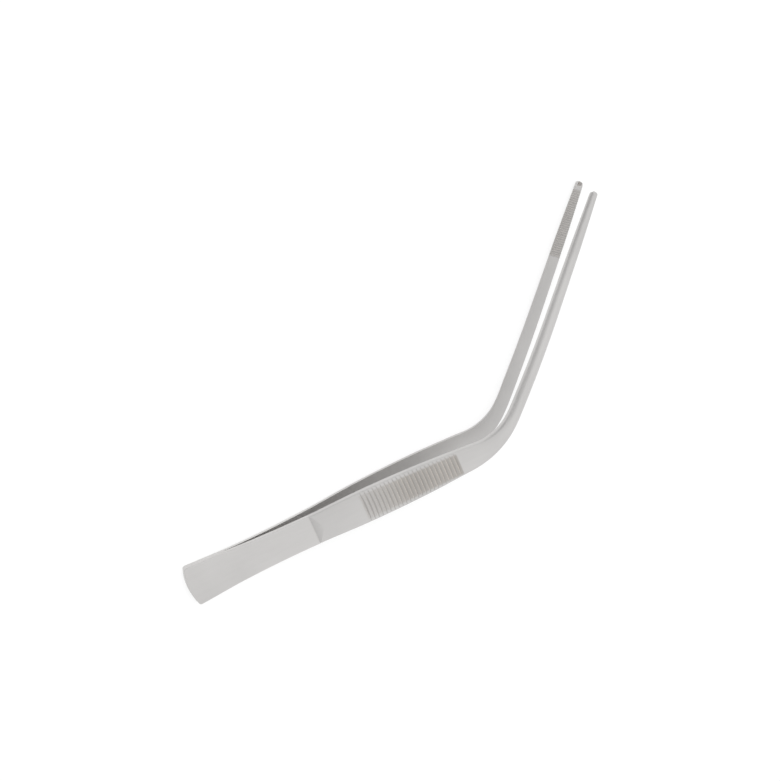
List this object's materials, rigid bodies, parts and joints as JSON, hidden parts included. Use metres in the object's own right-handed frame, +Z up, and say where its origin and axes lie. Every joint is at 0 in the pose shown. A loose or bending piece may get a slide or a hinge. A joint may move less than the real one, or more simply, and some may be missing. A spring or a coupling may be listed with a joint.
{
  "type": "angled thumb forceps",
  "caption": "Angled thumb forceps: welded spring arms with grooved grips, an edgewise bend, slender shanks and cross-serrated jaws that end in interlocking tissue teeth.",
  "frame": {"origin": "on the table under the middle of the forceps' plan", "axes": "+X along the handle from the welded butt towards the bend, +Y to the side that the jaws bend to, +Z up from the table, which is the way the arms spring apart"},
  "size_m": [0.1394, 0.0574, 0.0159],
  "materials": {
    "upper_steel": "satin brushed stainless steel",
    "lower_steel": "satin brushed stainless steel"
  },
  "bodies": {
    "root": {"upper_arm": "upper_steel", "lower_arm": "lower_steel"}
  },
  "joints": []
}
